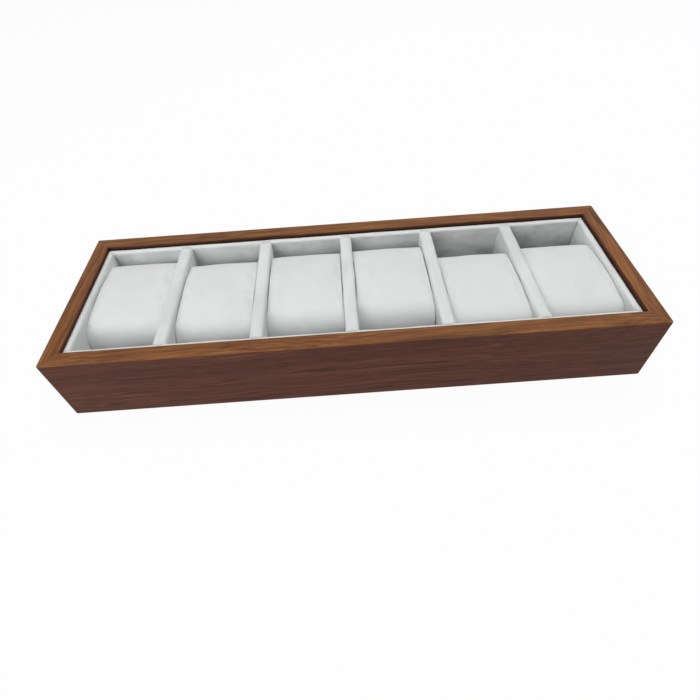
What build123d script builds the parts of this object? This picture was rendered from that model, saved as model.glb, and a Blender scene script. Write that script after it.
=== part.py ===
"""Watch display tray: a mitred walnut case, a velvet-wrapped liner that drops into it, and six watch pillows.

Millimetres. X runs along the tray, Y from its front to its back, and Z is up. The origin is the middle of the
footprint, on the surface that the tray stands on.
"""

from build123d import *
import math
import os

# Walnut case: four mitred rails round a base panel
case_length = 330.0
case_width = 109.0
case_height = 43.8
rail_thickness = 9.0
corner_radius = 1.0  # upright corners of the case
arris_radius = 0.8  # upper outside edges of the rails
inner_arris_radius = 0.4  # upper inside edges of the rails
foot_chamfer = 0.5  # lower outside edge, which keeps the veneer from chipping

# Base panel, held in a groove in the rails, and the felt under it
groove_base = 4.0
groove_depth = 4.0
panel_thickness = 3.0
panel_headroom = 0.2
panel_edge_gap = 0.4
felt_thickness = 1.2
felt_edge_gap = 0.6

# Loose plywood splines across the mitres
spline_thickness = 2.0
spline_width = 8.0
spline_height = 24.0
spline_base = 11.0
spline_inward = 1.5  # how far the spline lies from the middle of the mitre, towards the inner corner
spline_gap = 0.1  # glue line all round the spline

# Liner: velvet-wrapped boards on a floor board
liner_recess = 2.5  # how far the liner's rim lies under the top of the rails
liner_play_left = 0.3
liner_play_right = 1.1
liner_play_front = 0.3
liner_play_back = 0.9
floor_board_thickness = 2.0
floor_velvet_thickness = 0.6
rim_board_thickness = 1.6
rim_velvet_thickness = 0.5
rim_board_round = 0.6
rim_round = 1.1

# Partitions between the compartments
compartment_count = 6
partition_board_thickness = 5.8
partition_velvet_thickness = 0.6
partition_board_round = 0.9
partition_round = 1.5
tenon_thickness = 2.4
tenon_reach = 1.0  # how far a tenon goes into the rim board
tenon_height = 20.0
tenon_gap = 0.15

# Watch pillows
strap_room = 15.6  # gaps before and behind a pillow, added up
pillow_sink = 2.9  # how far the top of a pillow's rounded front lies below the liner
pillow_side_gap = 0.3
pillow_back_slimness = 0.1  # how much smaller the radius of a pillow's back is than that of its front
pillow_top_radius = 150.0
pillow_flat = 0.5  # how far the padding is pressed flat where the pillow stands
pillow_end_drop = 0.6  # how much the padding draws in at each end
pillow_stations = (0.65, 0.88, 1.0)  # shares of the half width at which the padding's outline is drawn
pillow_fullness = 6  # the higher, the later the padding draws in
cover_thickness = 0.8
end_panel_thickness = 1.0
end_panel_inset = 0.3
end_panel_gap = 0.1
pillow_back_gaps = (0.8, 6.1, 3.2, 2.3, 15.0, 11.9)  # from each pillow to the rim behind it, left to right

# What follows from those sizes
panel_top = groove_base + panel_thickness
liner_base = panel_top
liner_top = case_height - liner_recess
liner_length = case_length - 2 * rail_thickness - liner_play_left - liner_play_right
liner_width = case_width - 2 * rail_thickness - liner_play_front - liner_play_back
liner_x = (liner_play_left - liner_play_right) / 2
liner_y = (liner_play_front - liner_play_back) / 2
seat = liner_base + floor_board_thickness + floor_velvet_thickness  # what boards, partitions and pillows stand on
rim_thickness = rim_board_thickness + 2 * rim_velvet_thickness
inner_length = liner_length - 2 * rim_thickness
inner_width = liner_width - 2 * rim_thickness
partition_thickness = partition_board_thickness + 2 * partition_velvet_thickness
pitch = (inner_length + partition_thickness) / compartment_count
compartment_width = pitch - partition_thickness
pillow_width = compartment_width - 2 * pillow_side_gap
pillow_depth = inner_width - strap_room
pillow_height = liner_top - pillow_sink - seat

# Each side of a frame: the direction along it, and whether it is one of the long sides
SIDES = {
    "front": ((1, 0, 0), True),
    "right": ((0, 1, 0), False),
    "back": ((-1, 0, 0), True),
    "left": ((0, -1, 0), False),
}
CORNERS = {
    "front_left": (-1, -1),
    "front_right": (1, -1),
    "back_right": (1, 1),
    "back_left": (-1, 1),
}

os.makedirs("parts", exist_ok=True)


def write(part, name):
    """Labels a finished piece and writes its STEP file."""
    part.label = name
    export_step(part, f"parts/{name}.step")


def side_plane(side, x, y, z):
    """The plane of one side of a frame round (x, y): its own X runs along the side and its own Y points inwards."""
    return Plane(origin=(x, y, z), x_dir=SIDES[side][0], z_dir=(0, 0, 1))


def half_sizes(side, length, width):
    """Half of the side's own length, and the distance from the frame's middle to the side's outer face."""
    return (length / 2, width / 2) if SIDES[side][1] else (width / 2, length / 2)


def mitred_plan(half_length, half_span, outer, inner):
    """A mitred bar seen from above, from `outer` to `inner` inside the frame's outer faces."""
    with BuildSketch() as plan:
        with BuildLine():
            Polyline(
                (outer - half_length, outer - half_span),
                (half_length - outer, outer - half_span),
                (half_length - inner, inner - half_span),
                (inner - half_length, inner - half_span),
                close=True,
            )
        make_face()
    return plan.sketch


def compartment_x(index):
    """Middle of a compartment, counted from 0 at the left."""
    return liner_x - inner_length / 2 + compartment_width / 2 + index * pitch


def partition_x(index):
    """Middle of the partition to the right of a compartment."""
    return compartment_x(index) + pitch / 2


def spline_places():
    """Where each spline stands, turned square to its mitre."""
    reach = rail_thickness / 2 + spline_inward * math.sqrt(0.5)
    for corner, (sx, sy) in CORNERS.items():
        x = sx * (case_length / 2 - reach)
        y = sy * (case_width / 2 - reach)
        yield corner, Location((x, y, spline_base), (0, 0, -45 * sx * sy))


# The outside of the case, which trims the rails to eased edges
with BuildPart() as envelope:
    Box(case_length, case_width, case_height, align=(Align.CENTER, Align.CENTER, Align.MIN))
    fillet(envelope.edges().filter_by(Axis.Z), radius=corner_radius)
    fillet(envelope.faces().sort_by(Axis.Z)[-1].edges(), radius=arris_radius)
    chamfer(envelope.faces().sort_by(Axis.Z)[0].edges(), length=foot_chamfer)

# Four rails, grooved for the panel and slotted for the splines
for side in SIDES:
    half_length, half_span = half_sizes(side, case_length, case_width)
    with BuildPart() as rail:
        with BuildSketch(side_plane(side, 0, 0, 0)):
            add(mitred_plan(half_length, half_span, 0, rail_thickness))
        extrude(amount=case_height)
        along = rail.edges().filter_by(Axis((0, 0, 0), SIDES[side][0]))
        inwards = Axis((0, 0, 0), side_plane(side, 0, 0, 0).y_dir)
        fillet(along.group_by(Axis.Z)[-1].sort_by(inwards)[-1], radius=inner_arris_radius)
        with BuildSketch(side_plane(side, 0, 0, groove_base)):
            with Locations((0, rail_thickness - half_span - groove_depth / 2)):
                Rectangle(2 * half_length, groove_depth)
        extrude(amount=panel_thickness + panel_headroom, mode=Mode.SUBTRACT)
        for _, place in spline_places():
            with Locations(place):
                Box(
                    spline_width + 2 * spline_gap,
                    spline_thickness + 2 * spline_gap,
                    spline_height + spline_gap,
                    align=(Align.CENTER, Align.CENTER, Align.MIN),
                    mode=Mode.SUBTRACT,
                )
        add(envelope.part, mode=Mode.INTERSECT)
    write(rail.part, f"{side}_rail")

# Splines glued across the mitres
for corner, place in spline_places():
    with BuildPart() as spline:
        with Locations(place):
            Box(
                spline_width,
                spline_thickness,
                spline_height,
                align=(Align.CENTER, Align.CENTER, Align.MIN),
            )
    write(spline.part, f"mitre_spline_{corner}")

# Base panel in the groove
panel_length = case_length - 2 * (rail_thickness - groove_depth + panel_edge_gap)
panel_width = case_width - 2 * (rail_thickness - groove_depth + panel_edge_gap)
with BuildPart() as base_panel:
    with BuildSketch(Plane.XY.offset(groove_base)):
        Rectangle(panel_length, panel_width)
    extrude(amount=panel_thickness)
write(base_panel.part, "base_panel")

# Felt glued to the underside of the panel, between the rails
with BuildPart() as underside_felt:
    with BuildSketch(Plane.XY.offset(groove_base - felt_thickness)):
        RectangleRounded(
            case_length - 2 * (rail_thickness + felt_edge_gap),
            case_width - 2 * (rail_thickness + felt_edge_gap),
            radius=corner_radius,
        )
    extrude(amount=felt_thickness)
write(underside_felt.part, "underside_felt")

# Liner floor: a board with velvet glued over it
with BuildPart() as liner_floor_board:
    with BuildSketch(Plane.XY.offset(liner_base)):
        with Locations((liner_x, liner_y)):
            Rectangle(liner_length, liner_width)
    extrude(amount=floor_board_thickness)
write(liner_floor_board.part, "liner_floor_board")

with BuildPart() as liner_floor_velvet:
    with BuildSketch(Plane.XY.offset(liner_base + floor_board_thickness)):
        with Locations((liner_x, liner_y)):
            Rectangle(liner_length, liner_width)
    extrude(amount=floor_velvet_thickness)
write(liner_floor_velvet.part, "liner_floor_velvet")

# Housings in the front and back boards, open at the bottom, which take the partitions' tenons
with BuildPart() as housings:
    with BuildSketch(Plane.XY.offset(seat)):
        for index in range(compartment_count - 1):
            with Locations((partition_x(index), liner_y)):
                Rectangle(
                    tenon_thickness + 2 * tenon_gap,
                    inner_width + 2 * (rim_velvet_thickness + tenon_reach + tenon_gap),
                )
    extrude(amount=tenon_height + tenon_gap)

# Rim boards, mitred at the corners, each with velvet folded over its top
for side in SIDES:
    half_length, half_span = half_sizes(side, liner_length, liner_width)
    stand = side_plane(side, liner_x, liner_y, seat)
    with BuildPart() as rim_board:
        with BuildSketch(stand):
            add(mitred_plan(half_length, half_span, rim_velvet_thickness, rim_thickness - rim_velvet_thickness))
        extrude(amount=liner_top - rim_velvet_thickness - seat)
        along = rim_board.edges().filter_by(Axis((0, 0, 0), SIDES[side][0]))
        fillet(along.group_by(Axis.Z)[-1], radius=rim_board_round)
        add(housings.part, mode=Mode.SUBTRACT)
    with BuildPart() as rim_velvet:
        with BuildSketch(stand):
            add(mitred_plan(half_length, half_span, 0, rim_thickness))
        extrude(amount=liner_top - seat)
        along = rim_velvet.edges().filter_by(Axis((0, 0, 0), SIDES[side][0]))
        fillet(along.group_by(Axis.Z)[-1], radius=rim_round)
        add(housings.part, mode=Mode.SUBTRACT)
        add(rim_board.part, mode=Mode.SUBTRACT)
    write(rim_board.part, f"rim_board_{side}")
    write(rim_velvet.part, f"rim_velvet_{side}")

# Partitions: a board with a stub tenon at each end, and velvet folded over it
for index in range(compartment_count - 1):
    middle = (partition_x(index), liner_y)
    with BuildPart() as partition_board:
        with BuildSketch(Plane.XY.offset(seat)):
            with Locations(middle):
                Rectangle(partition_board_thickness, inner_width)
        extrude(amount=liner_top - partition_velvet_thickness - seat)
        along = partition_board.edges().filter_by(Axis.Y)
        fillet(along.group_by(Axis.Z)[-1], radius=partition_board_round)
        with BuildSketch(Plane.XY.offset(seat)):
            with Locations(middle):
                Rectangle(tenon_thickness, inner_width + 2 * (rim_velvet_thickness + tenon_reach))
        extrude(amount=tenon_height)
    with BuildPart() as partition_velvet:
        with BuildSketch(Plane.XY.offset(seat)):
            with Locations(middle):
                Rectangle(partition_thickness, inner_width)
        extrude(amount=liner_top - seat)
        along = partition_velvet.edges().filter_by(Axis.Y)
        fillet(along.group_by(Axis.Z)[-1], radius=partition_round)
        add(partition_board.part, mode=Mode.SUBTRACT)
    write(partition_board.part, f"partition_board_{index + 1}")
    write(partition_velvet.part, f"partition_velvet_{index + 1}")


def pillow_outline(inset):
    """The pillow seen from its end, drawn in by `inset`: a rounded front and back and a long shallow arch between.

    The arch touches both end circles from outside them. Y is counted from the pillow's back, Z from its seat.
    """
    front_radius = (pillow_height + pillow_flat) / 2
    back_radius = front_radius - pillow_back_slimness
    front = Vector(front_radius - pillow_depth, front_radius - pillow_flat)
    back = Vector(-back_radius, back_radius - pillow_flat)
    span = back - front
    to_front = pillow_top_radius - front_radius
    to_back = pillow_top_radius - back_radius
    along = (to_front**2 - to_back**2 + span.length**2) / (2 * span.length)
    below = math.sqrt(to_front**2 - along**2)
    ahead = span.normalized()
    arch = front + ahead * along - Vector(-ahead.Y, ahead.X) * below
    front_turn = math.degrees(math.atan2(front.Y - arch.Y, front.X - arch.X))
    back_turn = math.degrees(math.atan2(back.Y - arch.Y, back.X - arch.X))
    front_radius -= inset
    back_radius -= inset
    with BuildSketch() as outline:
        with BuildLine():
            CenterArc(front, front_radius, 180, 90)
            Line(front - Vector(0, front_radius), back - Vector(0, back_radius))
            CenterArc(back, back_radius, 270, 90)
            CenterArc(back, back_radius, 0, back_turn)
            CenterArc(arch, pillow_top_radius - inset, back_turn, front_turn - back_turn)
            CenterArc(front, front_radius, front_turn, 180 - front_turn)
        make_face()
    return outline.sketch


def pillow_plane(x, back):
    """Upright plane across a pillow at x, with its X towards the tray's back and its Y up from the seat."""
    return Plane(origin=(x, back, seat), x_dir=(0, 1, 0), z_dir=(1, 0, 0))


# Pillows: a firm core, a padded velvet cover round it, and a velvet panel over each end
for index, back_gap in enumerate(pillow_back_gaps):
    name = f"pillow_{index + 1}"
    middle = compartment_x(index)
    back = liner_y + inner_width / 2 - back_gap
    half_width = pillow_width / 2
    core_inset = pillow_end_drop + cover_thickness
    stations = sorted({0.0, *pillow_stations, *(-share for share in pillow_stations)})
    core_half = half_width - end_panel_inset - end_panel_thickness
    with BuildPart() as core:
        with BuildSketch(pillow_plane(middle - core_half, back)):
            add(pillow_outline(core_inset))
        extrude(amount=2 * core_half)
    with BuildPart() as cover:
        for share in stations:
            with BuildSketch(pillow_plane(middle + share * half_width, back)):
                add(pillow_outline(pillow_end_drop * share**pillow_fullness))
        loft()
        split(bisect_by=Plane.XY.offset(seat), keep=Keep.TOP)
        with BuildSketch(pillow_plane(middle - half_width, back)):
            add(pillow_outline(core_inset))
        extrude(amount=2 * half_width, mode=Mode.SUBTRACT)
    write(core.part, f"{name}_core")
    write(cover.part, f"{name}_cover")
    for end, start in (
        ("left", -half_width + end_panel_inset),
        ("right", half_width - end_panel_inset - end_panel_thickness),
    ):
        with BuildPart() as end_panel:
            with BuildSketch(pillow_plane(middle + start, back)):
                add(pillow_outline(core_inset + end_panel_gap))
            extrude(amount=end_panel_thickness)
        write(end_panel.part, f"{name}_{end}_end")
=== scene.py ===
import math

import bpy
import numpy as np
from mathutils import Euler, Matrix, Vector


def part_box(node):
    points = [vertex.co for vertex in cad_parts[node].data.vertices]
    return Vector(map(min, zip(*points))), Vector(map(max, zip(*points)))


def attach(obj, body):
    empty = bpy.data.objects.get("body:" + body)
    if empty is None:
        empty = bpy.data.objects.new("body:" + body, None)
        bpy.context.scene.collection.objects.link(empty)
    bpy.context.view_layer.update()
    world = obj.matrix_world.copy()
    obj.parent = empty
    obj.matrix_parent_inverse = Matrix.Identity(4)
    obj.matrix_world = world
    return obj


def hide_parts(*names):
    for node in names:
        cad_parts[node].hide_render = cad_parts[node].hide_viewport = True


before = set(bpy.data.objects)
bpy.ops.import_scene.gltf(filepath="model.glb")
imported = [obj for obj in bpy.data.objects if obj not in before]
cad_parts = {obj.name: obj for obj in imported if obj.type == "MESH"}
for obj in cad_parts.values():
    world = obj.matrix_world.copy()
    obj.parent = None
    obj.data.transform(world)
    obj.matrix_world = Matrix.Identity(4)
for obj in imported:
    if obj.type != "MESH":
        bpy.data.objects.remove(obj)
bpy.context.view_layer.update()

# The rails: walnut, mitred at the corners. Each is veneered with its grain along its length, and is rubbed
# down to a satin lacquer that leaves the pores open. Its top edge is lighter and more orange than its sides:
# partly the wood's own tone, partly painted light on the top and painted shade on the sides. The inner faces
# are darkened from
# a little under the top: painted shade in the recess round the liner.
case_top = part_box("front_rail")[1].z
case_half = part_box("front_rail")[1].x
case_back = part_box("back_rail")[1].y
rail_thickness = case_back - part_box("back_rail")[0].y
inner_corner = (case_half - rail_thickness, case_back - rail_thickness, 0.0)
# How deep the top band reaches. Painted light lies there over the wood's own more orange tone.
top_band_depth = 0.0007
# Painted shade on the inner faces, deeper further under the top: where it starts, and where it is full.
recess_shade_starts = 0.0008
recess_shade_full = 0.0021
# Side and top tones: the top's are lighter, partly the wood's own tone and partly painted light; the sides'
# are darker, partly painted shade.
walnut_side_tone_and_shade = ((0.0, (0.042, 0.014, 0.010)), (0.5, (0.078, 0.027, 0.017)), (1.0, (0.124, 0.047, 0.029)))
walnut_top_tone_and_light = ((0.0, (0.080, 0.029, 0.010)), (0.5, (0.170, 0.065, 0.021)), (1.0, (0.290, 0.120, 0.040)))
walnut_vein = (0.022, 0.008, 0.005)
# The colour of the painted shade on the inner faces.
walnut_recess_shade = (0.020, 0.010, 0.006)
pore_darkness = 0.3
vein_darkness = 0.75
vein_half_width = 0.045
# How strongly the painted shade on the inner faces is laid on.
recess_shade_strength = 0.85

# The grain: how many streaks of a kind there are to a metre along it and across it, and their finer detail. A
# share says how much of the tone they make, and a range which part of their noise shows.
grain_slope = math.radians(1.5)
grain_wander = 0.014
figure_streaks, figure_share = (3, 90, 1), 0.2
line_streaks, line_share = (7, 520, 3), 0.38
fibre_streaks, fibre_share = (30, 1900, 2), 0.42
vein_streaks = (6, 210, 1)
pore_streaks = (160, 3600, 1)
tone_range = (0.37, 0.63)
pore_range = (0.60, 0.70)
vein_shows = (0.46, 0.62)


def new_finish(name, plain):
    """A new material whose shader has the plain values given. Returns it, its nodes' tree and its shader."""
    made = bpy.data.materials.new(name)
    made.use_nodes = True
    shader = made.node_tree.nodes["Principled BSDF"]
    for key, value in plain.items():
        shader.inputs[key].default_value = value
    return made, made.node_tree, shader


def add(tree, kind, inputs, **properties):
    """A new node. Each input is a number, a colour or the output of another node."""
    made = tree.nodes.new(kind)
    for key, value in properties.items():
        setattr(made, key, value)
    for key, value in inputs.items():
        if isinstance(value, bpy.types.NodeSocket):
            tree.links.new(value, made.inputs[key])
        else:
            made.inputs[key].default_value = value
    return made


def reckon(tree, operation, *values):
    """The number that a Math node makes of its values."""
    return add(tree, "ShaderNodeMath", dict(enumerate(values)), operation=operation).outputs[0]


def reckon_vector(tree, operation, *values):
    """The vector that a Vector Math node makes of its values."""
    return add(tree, "ShaderNodeVectorMath", dict(enumerate(values)), operation=operation).outputs[0]


def tones(tree, value, stops):
    """A colour that runs through the stops, each of which is a place from 0 to 1 and its colour."""
    ramp = add(tree, "ShaderNodeValToRGB", {"Fac": value})
    steps = ramp.color_ramp.elements
    while len(steps) < len(stops):
        steps.new(0.5)
    for step, (place, colour) in zip(steps, stops):
        step.position = place
        step.color = (*colour, 1.0)
    return ramp.outputs["Color"]


def between(tree, value, low, high, to_low=0.0, to_high=1.0):
    """A value carried from the range low to high into the range to_low to to_high, and held at its ends."""
    inputs = {"Value": value, "From Min": low, "From Max": high, "To Min": to_low, "To Max": to_high}
    return add(tree, "ShaderNodeMapRange", inputs).outputs["Result"]


def mixed(tree, share, first, second, blend_type="MIX"):
    """Two colours mixed by a share."""
    inputs = {0: share, 6: first, 7: second}
    return add(tree, "ShaderNodeMix", inputs, data_type="RGBA", blend_type=blend_type).outputs[2]


def place_on(tree):
    """Where a point lies on the object, in metres."""
    return add(tree, "ShaderNodeTexCoord", {}).outputs["Object"]


def noise(tree, vector, scale, detail, **inputs):
    """Smooth noise from 0 to 1, with so many waves to a unit of the vector."""
    inputs = {"Vector": vector, "Scale": scale, "Detail": detail, **inputs}
    return add(tree, "ShaderNodeTexNoise", inputs).outputs["Fac"]


def relief(tree, shader, height, strength, distance, **properties):
    """Small bumps on a surface, as deep as the height is at each point."""
    bumps = {"Height": height, "Strength": strength, "Distance": distance}
    tree.links.new(add(tree, "ShaderNodeBump", bumps, **properties).outputs[0], shader.inputs["Normal"])


def walnut(name, turn, shift):
    """Walnut with its grain along X, turned about Z and shifted to another place in the board."""
    made, tree, shader = new_finish(name, {"Specular IOR Level": 0.13})
    place = place_on(tree)
    laid = {"Vector": place, "Location": shift, "Rotation": (0, grain_slope, turn)}
    laid = add(tree, "ShaderNodeMapping", laid).outputs[0]
    wander = add(tree, "ShaderNodeTexNoise", {"Vector": laid, "Scale": 9.0, "Detail": 1.5}).outputs["Color"]
    bent = reckon_vector(tree, "MULTIPLY_ADD", wander, (0, grain_wander, grain_wander), laid)

    def streaks(along, across, detail):
        """Noise drawn out along the grain: so many streaks a metre along it and across it."""
        drawn = reckon_vector(tree, "MULTIPLY", bent, (along, across, across))
        return noise(tree, drawn, 1.0, detail, Roughness=0.6)

    figure, lines, fibres = streaks(*figure_streaks), streaks(*line_streaks), streaks(*fibre_streaks)
    tone = reckon(tree, "MULTIPLY", figure, figure_share)
    tone = reckon(tree, "MULTIPLY_ADD", lines, line_share, tone)
    tone = reckon(tree, "MULTIPLY_ADD", fibres, fibre_share, tone)
    tone = between(tree, tone, *tone_range)
    height = add(tree, "ShaderNodeSeparateXYZ", {"Vector": place}).outputs["Z"]
    # Painted light on the top band and painted shade on the sides, over the wood's own change of tone.
    on_top = between(tree, height, case_top - top_band_depth, case_top - 0.3 * top_band_depth)
    wood = mixed(tree, on_top, tones(tree, tone, walnut_side_tone_and_shade), tones(tree, tone, walnut_top_tone_and_light))

    pore = between(tree, streaks(*pore_streaks), *pore_range)
    vein = reckon(tree, "ABSOLUTE", reckon(tree, "SUBTRACT", streaks(*vein_streaks), 0.5))
    vein = between(tree, vein, 0.0, vein_half_width, vein_darkness, 0.0)
    vein = reckon(tree, "MULTIPLY", vein, between(tree, figure, *vein_shows))
    dark = reckon(tree, "MAXIMUM", vein, reckon(tree, "MULTIPLY", pore, pore_darkness))
    wood = mixed(tree, dark, wood, (*walnut_vein, 1.0))

    # Painted shade on the inner faces: darker from a little under the top, down into the recess round the
    # liner.
    past_corner = reckon_vector(tree, "SUBTRACT", reckon_vector(tree, "ABSOLUTE", place), inner_corner)
    past = add(tree, "ShaderNodeSeparateXYZ", {"Vector": past_corner}).outputs
    inside = between(tree, reckon(tree, "MAXIMUM", past["X"], past["Y"]), 0.0001, 0.0004, 1.0, 0.0)
    recess_shade = between(tree, height, case_top - recess_shade_full, case_top - recess_shade_starts, recess_shade_strength, 0.0)
    wood = mixed(tree, reckon(tree, "MULTIPLY", inside, recess_shade), wood, (*walnut_recess_shade, 1.0))
    tree.links.new(wood, shader.inputs["Base Color"])
    tree.links.new(between(tree, lines, 0.3, 0.7, 0.5, 0.66), shader.inputs["Roughness"])
    relief(tree, shader, reckon(tree, "MULTIPLY_ADD", fibres, 0.35, pore), 0.3, 0.0002, invert=True)
    return made


def coat(node, finish):
    """Puts a finish on a node that keeps its own shape."""
    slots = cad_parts[node].data.materials
    slots.clear()
    slots.append(finish)


for node, turn, shift in (
    ("front_rail", 0.0, (0.31, 0.02, 0.013)),
    ("back_rail", 0.0, (1.17, 0.11, 0.052)),
    ("left_rail", math.radians(90), (2.9, 0.02, 0.07)),
    ("right_rail", math.radians(90), (3.71, 0.16, 0.087)),
):
    coat(node, walnut(node + "_walnut", turn, shift))

# The base panel and the splines: birch plywood. The panel lies in a groove round the rails, and a spline is
# glued into each mitre.
birch_colour = (0.50, 0.34, 0.19)
ply_thickness = 0.001
glue_line = 0.00012


def shaded(colour, share):
    """A colour made darker or lighter by a share."""
    return tuple(share * c for c in colour)


def plywood(name, colour):
    """Plywood: pale, with soft streaks along X and thin darker glue lines between its plies."""
    made, tree, shader = new_finish(name, {"Specular IOR Level": 0.3})
    place = place_on(tree)
    drawn = reckon_vector(tree, "MULTIPLY", place, (6, 260, 260))
    streak = noise(tree, drawn, 1.0, 4.0)
    wood = tones(tree, streak, ((0.3, shaded(colour, 0.72)), (0.5, colour), (0.7, shaded(colour, 1.12))))
    height = add(tree, "ShaderNodeSeparateXYZ", {"Vector": place}).outputs["Z"]
    glue = between(tree, reckon(tree, "PINGPONG", height, ply_thickness), 0.0, glue_line, 0.45, 0.0)
    wood = mixed(tree, glue, wood, (*shaded(colour, 0.35), 1.0))
    tree.links.new(wood, shader.inputs["Base Color"])
    tree.links.new(between(tree, streak, 0.3, 0.7, 0.6, 0.8), shader.inputs["Roughness"])
    relief(tree, shader, streak, 0.2, 0.0002)
    return made


birch = plywood("birch_plywood", birch_colour)
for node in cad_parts:
    if node == "base_panel" or node.startswith("mitre_spline"):
        coat(node, birch)

# The felt under the case: one sheet of dark brown wool felt, cut with rounded corners and glued to the panel,
# so that the tray doesn't scratch what it stands on.
felt_colour = (0.035, 0.024, 0.018)
felt_corner = 0.001
felt_waviness = 0.00008
cloth_ripple = 0.03
cloth_grid = (161, 61)


def mesh_of(name, points, finish, closed_across=False):
    """A smooth object whose mesh is a grid of points, rows by columns, with faces between neighbours."""
    rows, columns = points.shape[:2]
    index = np.arange(rows * columns).reshape(rows, columns)
    if closed_across:
        index = np.concatenate([index, index[:, :1]], axis=1)
    faces = np.stack([index[:-1, :-1], index[:-1, 1:], index[1:, 1:], index[1:, :-1]], axis=-1)
    faces = faces.reshape(-1, 4)
    mesh = bpy.data.meshes.new(name)
    mesh.from_pydata(points.reshape(-1, 3), [], faces)
    mesh.materials.append(finish)
    mesh.polygons.foreach_set("use_smooth", np.full(len(faces), True))
    made = bpy.data.objects.new(name, mesh)
    bpy.context.scene.collection.objects.link(made)
    return made


def ripple(x, y, size, seed):
    """A smooth random height from about -1 to 1: the sum of six waves of about the size given, each in a
    random direction, over the root of six."""
    draw = np.random.default_rng(seed)
    turn, phase = draw.uniform(0, 2 * math.pi, (2, 6))
    pace = 2 * math.pi / size * draw.uniform(0.6, 1.6, 6)
    waves = [np.sin(p * (x * math.cos(t) + y * math.sin(t)) + f) for p, t, f in zip(pace, turn, phase)]
    return sum(waves) / math.sqrt(6)


def laid_cloth(name, low, high, corner, waviness, finish, seed):
    """A flat cloth over a box's plan, with rounded corners: u and v run over the rectangle, and in each
    corner's square a point is drawn in to the quarter disc of that radius, along its direction from the
    disc's middle. The cloth's height ripples."""
    half = np.array([(high.x - low.x) / 2, (high.y - low.y) / 2])
    u, v = np.meshgrid(*(np.linspace(-1, 1, count) for count in cloth_grid), indexing="ij")
    x, y = u * half[0], v * half[1]
    past = np.stack([np.abs(x) - (half[0] - corner), np.abs(y) - (half[1] - corner)])
    in_corner = (past > 0).all(axis=0)
    pull = np.where(in_corner, past.max(axis=0) / np.maximum(np.hypot(*past), 1e-12), 1.0)
    x = np.where(in_corner, np.sign(x) * (half[0] - corner + past[0] * pull), x)
    y = np.where(in_corner, np.sign(y) * (half[1] - corner + past[1] * pull), y)
    z = high.z - waviness * (1 + ripple(x, y, cloth_ripple, seed))
    points = np.stack([x + (low.x + high.x) / 2, y + (low.y + high.y) / 2, z], axis=-1)
    made = mesh_of(name, points, finish)
    thick = made.modifiers.new("thickness", "SOLIDIFY")
    thick.thickness = high.z - low.z - 2 * waviness
    thick.offset = -1.0
    return made


def felt(name, colour):
    """Pressed wool felt: mottled, with short matted fibres that stand out of it."""
    plain = {"Roughness": 0.95, "Specular IOR Level": 0.1, "Sheen Weight": 0.15, "Sheen Roughness": 0.6}
    made, tree, shader = new_finish(name, plain)
    place = place_on(tree)
    fibre = noise(tree, place, 1400.0, 3.0, Distortion=1.5)
    tone = between(tree, reckon(tree, "ADD", fibre, noise(tree, place, 90.0, 3.0)), 0.7, 1.3)
    wool = tones(tree, tone, ((0.2, shaded(colour, 0.55)), (0.5, colour), (0.8, shaded(colour, 1.7))))
    tree.links.new(wool, shader.inputs["Base Color"])
    relief(tree, shader, fibre, 0.5, 0.0003)
    return made


low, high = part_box("underside_felt")
brown_felt = felt("brown_felt", felt_colour)
underside = laid_cloth("felt_under_case", low, high, felt_corner, felt_waviness, brown_felt, seed=3)
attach(underside, "case")
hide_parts("underside_felt")

# The liner's boards and its floor: fibreboard strips on a board, each wrapped in short-pile velvet before
# they were put together. The liner drops loose into the case.
fibreboard_colour = (0.30, 0.21, 0.13)
velvet_colour = (0.675, 0.69, 0.68)
# A dark grey laid on upright faces as painted shade, and the span over which it deepens from left to right.
upright_shade_colour = (0.22, 0.225, 0.21)
shade_gradient_span = 0.15
floor_cloth_corner = 0.0004
velvet_waviness = 0.00005


def velvet(name, colour, brushed, upright_shade=None):
    """Short-pile velvet: cloudy where the pile was brushed one way or the other, finely speckled by its
    tufts, and lighter at a grazing angle. Its upright faces may be darkened: partly the pile's own, deeper
    where it was brushed down, and partly painted shade, by a share from the first given value at the left to
    the second at the right."""
    plain = {"Roughness": 0.9, "Specular IOR Level": 0.15, "Sheen Weight": 0.25, "Sheen Roughness": 0.45}
    plain["Sheen Tint"] = (0.95, 0.97, 1.0, 1.0)
    made, tree, shader = new_finish(name, plain)
    place = place_on(tree)
    brush = noise(tree, reckon_vector(tree, "MULTIPLY", place, (55, 30, 90)), 1.0, 3.0, Distortion=0.8)
    tuft = noise(tree, place, 2600.0, 2.0)
    cloth = tones(tree, brush, ((0.32, shaded(colour, 1 - brushed)), (0.6, colour)))
    # Upright faces darkened towards that grey: painted shade, stronger towards the right, with the
    # brushed-down pile's own darker patches.
    if upright_shade:
        along = add(tree, "ShaderNodeSeparateXYZ", {"Vector": place}).outputs["X"]
        shade_share = between(tree, along, -shade_gradient_span, shade_gradient_span, *upright_shade)
        shade_share = reckon(tree, "ADD", between(tree, brush, 0.36, 0.64, 0.0, 0.4), shade_share)
        facing = add(tree, "ShaderNodeNewGeometry", {}).outputs["Normal"]
        level = add(tree, "ShaderNodeSeparateXYZ", {"Vector": facing}).outputs["Z"]
        shade_share = reckon(tree, "MULTIPLY", between(tree, level, 0.1, 0.7, 1.0, 0.0), shade_share)
        cloth = mixed(tree, shade_share, cloth, (*upright_shade_colour, 1.0))
    speck = between(tree, tuft, 0.35, 0.65, 0.93, 1.0)
    grey = add(tree, "ShaderNodeCombineColor", {"Red": speck, "Green": speck, "Blue": speck}).outputs[0]
    tree.links.new(mixed(tree, 1.0, cloth, grey, "MULTIPLY"), shader.inputs["Base Color"])
    relief(tree, shader, tuft, 0.3, 0.0002)
    return made


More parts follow.
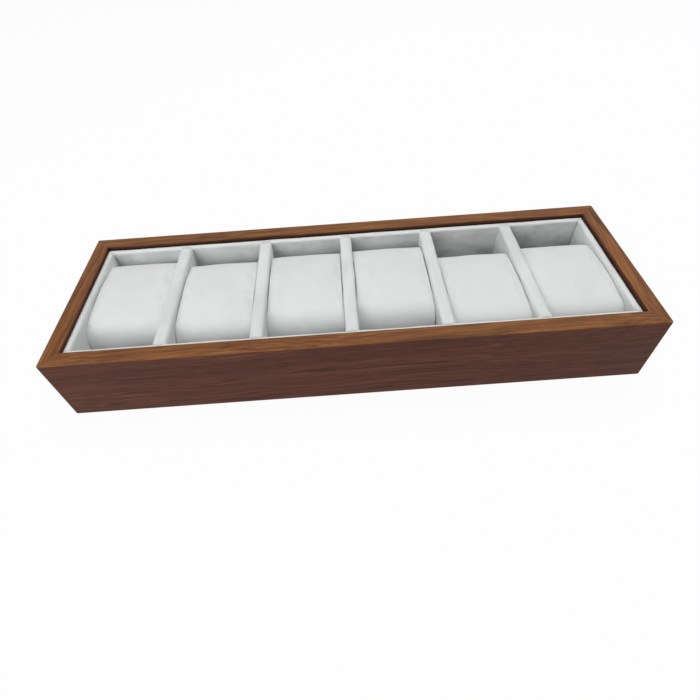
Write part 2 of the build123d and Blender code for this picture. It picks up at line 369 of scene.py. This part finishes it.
def fibreboard(name, colour):
    """Raw fibreboard: even and matt, flecked with short pressed fibres."""
    made, tree, shader = new_finish(name, {"Roughness": 0.85, "Specular IOR Level": 0.2})
    place = place_on(tree)
    fleck = noise(tree, place, 900.0, 4.0, Distortion=2.0)
    board = tones(tree, fleck, ((0.3, shaded(colour, 0.6)), (0.5, colour), (0.7, shaded(colour, 1.25))))
    tree.links.new(board, shader.inputs["Base Color"])
    relief(tree, shader, fleck, 0.3, 0.0002)
    return made


raw_fibreboard = fibreboard("raw_fibreboard", fibreboard_colour)
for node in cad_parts:
    if "_board" in node:
        coat(node, raw_fibreboard)

liner_velvet = velvet("liner_velvet", velvet_colour, 0.12)
low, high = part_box("liner_floor_velvet")
floor_cloth = laid_cloth("velvet_on_liner_floor", low, high, floor_cloth_corner, velvet_waviness,
                         liner_velvet, seed=5)
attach(floor_cloth, "liner")
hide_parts("liner_floor_velvet")

# The rim's velvet: folded over each board's top edge, up one face, over the rounded edge and down the other,
# with mitred ends. The pile makes the edge soft and a little uneven. Inside the back rim it carries painted
# shade,
# and the front one is painted paler: painted light on a rim that stands in the front rail's shade.
rim_pieces = {
    "front": ((1, 0), (0, 1)),
    "right": ((0, 1), (-1, 0)),
    "back": ((-1, 0), (0, -1)),
    "left": ((0, -1), (1, 0)),
}
# The front rim's velvet is painted paler than the rest: painted light on a rim that lies in the front rail's
# shade.
front_rim_painted_light = (0.80, 0.80, 0.78)
rim_fold_radius = 0.0008
fold_unevenness = 0.0001
fold_fade = 0.004
face_ripple, edge_ripple = 0.022, 0.03
fold_row = 0.0011
fold_points, quarter_points = 72, 9
crowded = 0.15


def fold_profile(height, thickness, radius):
    """The line over a fold, as (across, up) pairs at even steps: straight up, a quarter round of the radius,
    level, a quarter round and straight down. Also returns its length."""
    quarter = np.linspace(0, math.pi / 2, quarter_points)
    rise = np.stack([radius - radius * np.cos(quarter), height - radius + radius * np.sin(quarter)])
    corner = np.concatenate([[[0], [0]], rise], axis=1)
    line = np.concatenate([corner, np.stack([thickness - corner[0, ::-1], corner[1, ::-1]])], axis=1)
    steps = np.concatenate([[0], np.cumsum(np.hypot(*np.diff(line, axis=1)))])
    even = np.linspace(0, steps[-1], fold_points)
    return np.interp(even, steps, line[0]), np.interp(even, steps, line[1]), steps[-1]


def folded_velvet(name, middle, along, inwards, half_length, height, thickness, radius, mitre, skin, seed,
                  finish):
    """Velvet over a board. The fold's profile (t across, h up) is carried along the board by s from -1 to 1,
    to middle + s (half length - mitre t) along + t inwards + h up, with its rows a little crowded towards the
    ends. It is pushed out by the ripple, which fades towards its ends. Also returns the profile's length."""
    t, h, girth = fold_profile(height, thickness, radius)
    even = np.linspace(-1, 1, int(half_length / fold_row))
    s = np.sin(even * math.pi / 2) * crowded + even * (1 - crowded)
    s, t = np.meshgrid(s, t, indexing="ij")
    h = np.broadcast_to(h, t.shape).copy()
    reach = s * (half_length - mitre * t)
    side = np.clip((t - thickness / 2) / (thickness / 2), -1, 1)
    crown = np.clip((h - height + 2 * radius) / (2 * radius), 0, 1)
    uneven = fold_unevenness * np.clip((half_length - np.abs(reach)) / fold_fade, 0, 1)
    t = t + side * uneven * ripple(reach, h + 0.3 * side, face_ripple, seed)
    h = h - crown * uneven * (1 + ripple(reach, 2 * side, edge_ripple, seed + 1))
    points = np.empty((*t.shape, 3))
    for axis in range(2):
        points[..., axis] = middle[axis] + reach * along[axis] + t * inwards[axis]
    points[..., 2] = middle[2] + h
    made = mesh_of(name, points, finish)
    thick = made.modifiers.new("thickness", "SOLIDIFY")
    thick.thickness = skin
    thick.offset = -1.0
    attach(made, "liner")
    return made, girth


rim_velvet = {
    # The back rim's velvet carries painted shade on its upright faces, deeper towards the right.
    "back": velvet("back_rim_velvet", velvet_colour, 0.1, upright_shade=(-0.03, 0.35)),
    # The front rim's velvet is painted paler: painted light.
    "front": velvet("front_rim_velvet", front_rim_painted_light, 0.05),
}
front_box, back_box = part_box("rim_velvet_front"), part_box("rim_velvet_back")
rim_low = Vector((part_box("rim_velvet_left")[0].x, front_box[0].y, front_box[0].z))
rim_high = Vector((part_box("rim_velvet_right")[1].x, back_box[1].y, front_box[1].z))
rim_middle = (rim_low + rim_high) / 2
rim_half = (rim_high - rim_low) / 2
rim_thickness = front_box[1].y - front_box[0].y
rim_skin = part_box("rim_board_front")[0].y - front_box[0].y
for count, (side, (along, inwards)) in enumerate(rim_pieces.items()):
    half_length = rim_half.x if along[0] else rim_half.y
    half_span = rim_half.y if along[0] else rim_half.x
    middle = (rim_middle.x - half_span * inwards[0], rim_middle.y - half_span * inwards[1], rim_low.z)
    fold, girth = folded_velvet(
        f"velvet_over_rim_{side}", middle, along, inwards, half_length, rim_high.z - rim_low.z,
        rim_thickness, rim_fold_radius, mitre=1, skin=rim_skin, seed=20 + 2 * count,
        finish=rim_velvet.get(side, liner_velvet),
    )
    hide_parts(f"rim_velvet_{side}")

# The partitions' velvet: folded over each board in the same way, pressed thinner by the pillows beside it,
# and tucked into the rim's velvet at both ends.
partition_fold_radius = 0.0011
tuck = 0.0006
pile_pressed = 0.0002
for number in range(1, 6):
    low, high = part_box(f"partition_velvet_{number}")
    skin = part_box(f"partition_board_{number}")[0].x - low.x - pile_pressed
    thickness = high.x - low.x - 2 * pile_pressed
    middle = (high.x - pile_pressed, (low.y + high.y) / 2, low.z)
    fold, girth = folded_velvet(
        f"velvet_over_partition_{number}", middle, (0, 1), (-1, 0), (high.y - low.y) / 2 + tuck,
        high.z - low.z, thickness, partition_fold_radius, mitre=0, skin=skin, seed=40 + 2 * number,
        finish=liner_velvet,
    )
    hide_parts(f"partition_velvet_{number}")

# The watch pillows: a firm foam core in a padded velvet cover, with an oval panel sewn in at each end. Seen
# from the end a pillow has a round front and back and a shallow arch over both. It stands flat on its seat.
pillow_front_radius = 0.01465
pillow_back_radius = 0.01455
pillow_arch_radius = 0.150
pillow_pressed = 0.0005
arc_points = 120
easing_reach, easing_spread = 8, 1.6
eased_out = 0.0003

# How the cover stands to the solid's box, and how its end panels stand out.
pillow_end_drop = 0.0001
pillow_side_room = 0.0002
pillow_front_swell = 0.0004
cover_inset = 0.0001
panel_bulge = 0.0001

# The cover's grid: points round the outline, rows along the pillow as shares of its half width, closer at the
# seams, and rings on its end panels as shares of the panel.
around = 112
across = np.sort(np.concatenate([np.linspace(-0.94, 0.94, 25), [-1, -0.985, -0.965, 0.965, 0.985, 1]]))
panel_rings = np.linspace(0.02, 0.96, 9)
cover_rows = len(across) + 2 * len(panel_rings)
seam_rows = (len(panel_rings), cover_rows - 1 - len(panel_rings))

# The stuffing, the seams drawn in and puckered after it, the cover's wrinkles, and the core inside.
stuffing_scale = 10.0
stuffing_steps = 20
stuffing_limit = 0.0006
seam_depth = 0.0002
pucker_share, pucker_pace = 0.15, 2.4
wrinkle_height, wrinkle_size, wrinkle_shift = 0.00012, 0.03, 0.3
core_inset = 0.0018
core_end_room = 0.0001
foam_deep = (0.42, 0.38, 0.28)
foam_pale = (0.72, 0.68, 0.55)


def oval(depth):
    """The pillow's outline from its end, as points and outward directions at even steps, counted from the
    middle of its back. A back circle and a front circle stand on one line, and an arch touches both from
    outside. The line is then eased: each point moves to the weighted mean of its neighbours, and out again by
    a little."""
    front = np.array([pillow_front_radius - depth, pillow_front_radius - pillow_pressed])
    back = np.array([-pillow_back_radius, pillow_back_radius - pillow_pressed])
    span = np.linalg.norm(back - front)
    to_front, to_back = pillow_arch_radius - pillow_front_radius, pillow_arch_radius - pillow_back_radius
    ahead = (back - front) / span
    along = (to_front**2 - to_back**2 + span**2) / (2 * span)
    arch = front + ahead * along - np.array([-ahead[1], ahead[0]]) * math.sqrt(to_front**2 - along**2)
    front_turn = math.atan2(*(front - arch)[::-1])
    back_turn = math.atan2(*(back - arch)[::-1])
    arcs = (
        (back, pillow_back_radius, 0.0, back_turn),
        (arch, pillow_arch_radius, back_turn, front_turn),
        (front, pillow_front_radius, front_turn, 1.5 * math.pi),
        (back, pillow_back_radius, 1.5 * math.pi, 2 * math.pi),
    )
    turns = np.concatenate([np.linspace(start, end, arc_points) for _, _, start, end in arcs])
    outwards = np.stack([np.cos(turns), np.sin(turns)])
    centres = np.repeat([centre for centre, _, _, _ in arcs], arc_points, axis=0).T
    line = centres + np.repeat([radius for _, radius, _, _ in arcs], arc_points) * outwards
    steps = np.concatenate([[0], np.cumsum(np.hypot(*np.diff(line, axis=1)))])
    even = np.arange(around) / around * steps[-1]
    line = np.stack([np.interp(even, steps, row) for row in line], axis=-1)
    outwards = np.stack([np.interp(even, steps, row) for row in outwards], axis=-1)
    offsets = np.arange(-easing_reach, easing_reach + 1)
    weights = np.exp(-0.5 * (offsets / easing_spread) ** 2)
    weights /= weights.sum()
    line, outwards = (
        sum(weight * np.roll(rows, offset, axis=0) for weight, offset in zip(weights, offsets))
        for rows in (line, outwards)
    )
    return line + outwards * eased_out, outwards / np.linalg.norm(outwards, axis=1, keepdims=True)


def pillow_surface(depth, half_width, inset, bulge):
    """A pillow round x = 0, with its back at y = 0 and its seat at z = 0, as rows along X of points round the
    outline. Between the ends it is the oval drawn in by inset + end drop |v|^10, at x = v (half width -
    inset). Over each end the rows shrink to the oval's middle by rings, and the panel stands out by
    bulge (1 - ring^2)."""
    line, outwards = oval(depth)
    shares = across[:, None, None]
    body = line - outwards * (inset + pillow_end_drop * np.abs(shares) ** 10)
    along = np.broadcast_to(shares * (half_width - inset), (*body.shape[:2], 1))
    body = np.concatenate([along, body], axis=-1)
    rim = body[0, :, 1:]
    heart = rim.mean(axis=0)
    rings = panel_rings[:, None, None]
    panel = heart + (rim - heart) * rings
    out = np.broadcast_to(half_width - inset + bulge * (1 - rings**2), (*panel.shape[:2], 1))
    left = np.concatenate([-out, panel], axis=-1)
    right = np.concatenate([out, panel], axis=-1)[::-1]
    return np.concatenate([left, body, right])


def close_ends(made):
    """Closes the two small holes at a pillow's ends, each with one face."""
    mesh = made.data
    points = np.zeros(len(mesh.vertices) * 3)
    mesh.vertices.foreach_get("co", points)
    faces = [tuple(p.vertices) for p in mesh.polygons]
    faces.append(tuple(range(around))[::-1])
    faces.append(tuple(range((cover_rows - 1) * around, cover_rows * around)))
    mesh.clear_geometry()
    mesh.from_pydata(points.reshape(-1, 3), [], faces)
    mesh.polygons.foreach_set("use_smooth", np.full(len(faces), True))
    mesh.update()


def inflate(made, rest):
    """Stuffs a cover: a short cloth simulation at ten times its size, with the pressure of the wadding and
    the seams drawn tight. No point moves further than the limit."""
    mesh = made.data
    mesh.vertices.foreach_set("co", (rest * stuffing_scale).ravel())
    seams = made.vertex_groups.new(name="seams")
    sewn = [int(i) for row in seam_rows for i in range(row * around, (row + 1) * around)]
    seams.add(sewn, 1.0, "REPLACE")
    cloth = made.modifiers.new("stuffing", "CLOTH")
    cloth.settings.quality = 6
    cloth.settings.mass = 0.3
    cloth.settings.tension_stiffness = 15
    cloth.settings.compression_stiffness = 15
    cloth.settings.bending_stiffness = 0.6
    cloth.settings.use_pressure = True
    cloth.settings.uniform_pressure_force = 4.0
    cloth.settings.vertex_group_shrink = "seams"
    cloth.settings.shrink_min = -0.025
    cloth.settings.shrink_max = 0.004
    cloth.settings.effector_weights.gravity = 0.0
    cloth.point_cache.frame_start = 1
    cloth.point_cache.frame_end = stuffing_steps
    for step in range(1, stuffing_steps + 1):
        bpy.context.scene.frame_set(step)
    evaluated = made.evaluated_get(bpy.context.evaluated_depsgraph_get())
    moved = np.zeros(len(mesh.vertices) * 3)
    evaluated.data.vertices.foreach_get("co", moved)
    made.modifiers.remove(cloth)
    bpy.context.scene.frame_set(1)
    shift = moved.reshape(-1, 3) / stuffing_scale - rest
    length = np.linalg.norm(shift, axis=1, keepdims=True)
    return rest + shift * np.minimum(1.0, stuffing_limit / np.maximum(length, 1e-9))


def open_foam(name):
    """Firm open-cell foam: small round cells, pale between dark pits."""
    made, tree, shader = new_finish(name, {"Roughness": 0.9, "Specular IOR Level": 0.15})
    place = place_on(tree)
    cells = add(tree, "ShaderNodeTexVoronoi", {"Vector": place, "Scale": 1100.0}).outputs["Distance"]
    tree.links.new(tones(tree, cells, ((0.1, foam_deep), (0.5, foam_pale))), shader.inputs["Base Color"])
    relief(tree, shader, cells, 0.5, 0.0004)
    return made


pillow_velvet = velvet("pillow_velvet", velvet_colour, 0.05)
firm_foam = open_foam("firm_foam")
for number in range(1, 7):
    nodes = [f"pillow_{number}_{part}" for part in ("cover", "left_end", "right_end")]
    low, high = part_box(nodes[0])
    place = np.array([(low.x + high.x) / 2, high.y, low.z])
    depth, half_width = high.y - low.y, (high.x - low.x) / 2
    grid = pillow_surface(depth + pillow_front_swell, half_width, cover_inset, panel_bulge)
    cover = mesh_of(f"pillow_{number}_padded_cover", grid, pillow_velvet, closed_across=True)
    close_ends(cover)
    grid = inflate(cover, grid.reshape(-1, 3)).reshape(grid.shape)
    inwards = grid.mean(axis=(0, 1)) - grid
    inwards /= np.linalg.norm(inwards, axis=-1, keepdims=True)
    pucker = 1 + pucker_share * np.sin(np.arange(around) * pucker_pace + number)[:, None]
    for row in seam_rows:
        grid[row] += inwards[row] * seam_depth * pucker
    wrinkle = ripple(grid[..., 1] + wrinkle_shift * number, grid[..., 0], wrinkle_size, seed=70 + number)
    grid -= wrinkle_height * wrinkle[..., None] * inwards
    widest = half_width + pillow_side_room
    grid[..., 0] = np.clip(grid[..., 0], -widest, widest)
    grid[..., 2] = np.maximum(grid[..., 2], 0.0)
    cover.data.vertices.foreach_set("co", (grid + place).ravel())
    cover.data.update()
    smooth = cover.modifiers.new("smooth", "SUBSURF")
    smooth.levels = smooth.render_levels = 1
    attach(cover, f"pillow_{number}")
    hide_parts(*nodes)

    core_low, core_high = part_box(f"pillow_{number}_core")
    core_half_width = (core_high.x - core_low.x) / 2 + core_inset - core_end_room
    core_points = pillow_surface(depth, core_half_width, core_inset, 0.0) + place
    core = mesh_of(f"pillow_{number}_foam_core", core_points, firm_foam, closed_across=True)
    close_ends(core)
    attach(core, f"pillow_{number}")
    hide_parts(f"pillow_{number}_core")

# The studio: a pale floor under a large soft light above and behind the tray, and a plain room round it.
# The camera stands close in front and above, with a wide lens, as in the photograph.
floor_size = 6.0
floor_whiteness = 0.95
lamp_aim = (0.0, 0.0, 0.02)


def seen_directly(tree):
    """1 for a ray from the camera, and for one that a glossy or clear surface sends on, and otherwise 0."""
    rays = add(tree, "ShaderNodeLightPath", {}).outputs
    seen = reckon(tree, "MAXIMUM", rays["Is Camera Ray"], rays["Is Glossy Ray"])
    return reckon(tree, "MAXIMUM", seen, rays["Is Transmission Ray"])


floor_plain = {"Roughness": 0.9, "Base Color": (0.7, 0.7, 0.7, 1)}
floor_finish, floor_tree, floor_shader = new_finish("studio_floor", floor_plain)
white = add(floor_tree, "ShaderNodeEmission", {"Color": (1, 1, 1, 1), "Strength": 1.0}).outputs[0]
shown = reckon(floor_tree, "MULTIPLY", seen_directly(floor_tree), floor_whiteness)
floor_mix = add(floor_tree, "ShaderNodeMixShader", {0: shown, 1: floor_shader.outputs[0], 2: white})
floor_tree.links.new(floor_mix.outputs[0], floor_tree.nodes["Material Output"].inputs["Surface"])
floor_corners = np.array([[[1, -1, 0], [-1, -1, 0]], [[1, 1, 0], [-1, 1, 0]]])
floor = mesh_of("studio_floor", floor_corners * floor_size / 2, floor_finish)

room = bpy.data.worlds.new("room")
bpy.context.scene.world = room
room.use_nodes = True
room_tree = room.node_tree
backdrop = add(room_tree, "ShaderNodeBackground", {"Color": (1, 1, 1, 1), "Strength": 1.0}).outputs[0]
ambient = room_tree.nodes["Background"]
ambient.inputs["Color"].default_value = (0.95, 0.98, 1.0, 1)
ambient.inputs["Strength"].default_value = 0.42
room_parts = {0: seen_directly(room_tree), 1: ambient.outputs[0], 2: backdrop}
room_mix = add(room_tree, "ShaderNodeMixShader", room_parts)
room_tree.links.new(room_mix.outputs[0], room_tree.nodes["World Output"].inputs["Surface"])


def soft_light(name, place, size, power, colour):
    """A square soft light that shines from a place on the tray."""
    lamp = bpy.data.lights.new(name, "AREA")
    lamp.size, lamp.energy, lamp.color = size, power, colour
    made = bpy.data.objects.new(name, lamp)
    made.location = place
    made.rotation_euler = (Vector(lamp_aim) - Vector(place)).to_track_quat("-Z", "Y").to_euler()
    bpy.context.scene.collection.objects.link(made)


soft_light("overhead", (0.25, 0.35, 0.95), size=0.9, power=6.2, colour=(1.0, 0.98, 0.96))
soft_light("front_fill", (-0.45, -0.7, 0.45), size=0.7, power=5.9, colour=(0.98, 0.99, 1.0))

lens = bpy.data.cameras.new("camera")
lens.sensor_width = 36.0
lens.lens = 23.8676
camera = bpy.data.objects.new("camera", lens)
camera.location = (-0.002103, -0.212353, 0.222789)
camera.rotation_euler = Euler([math.radians(a) for a in (40.7157, 2.7127, -3.0242)], "XYZ")
bpy.context.scene.collection.objects.link(camera)
bpy.context.scene.camera = camera
bpy.context.scene.view_settings.view_transform = "Standard"
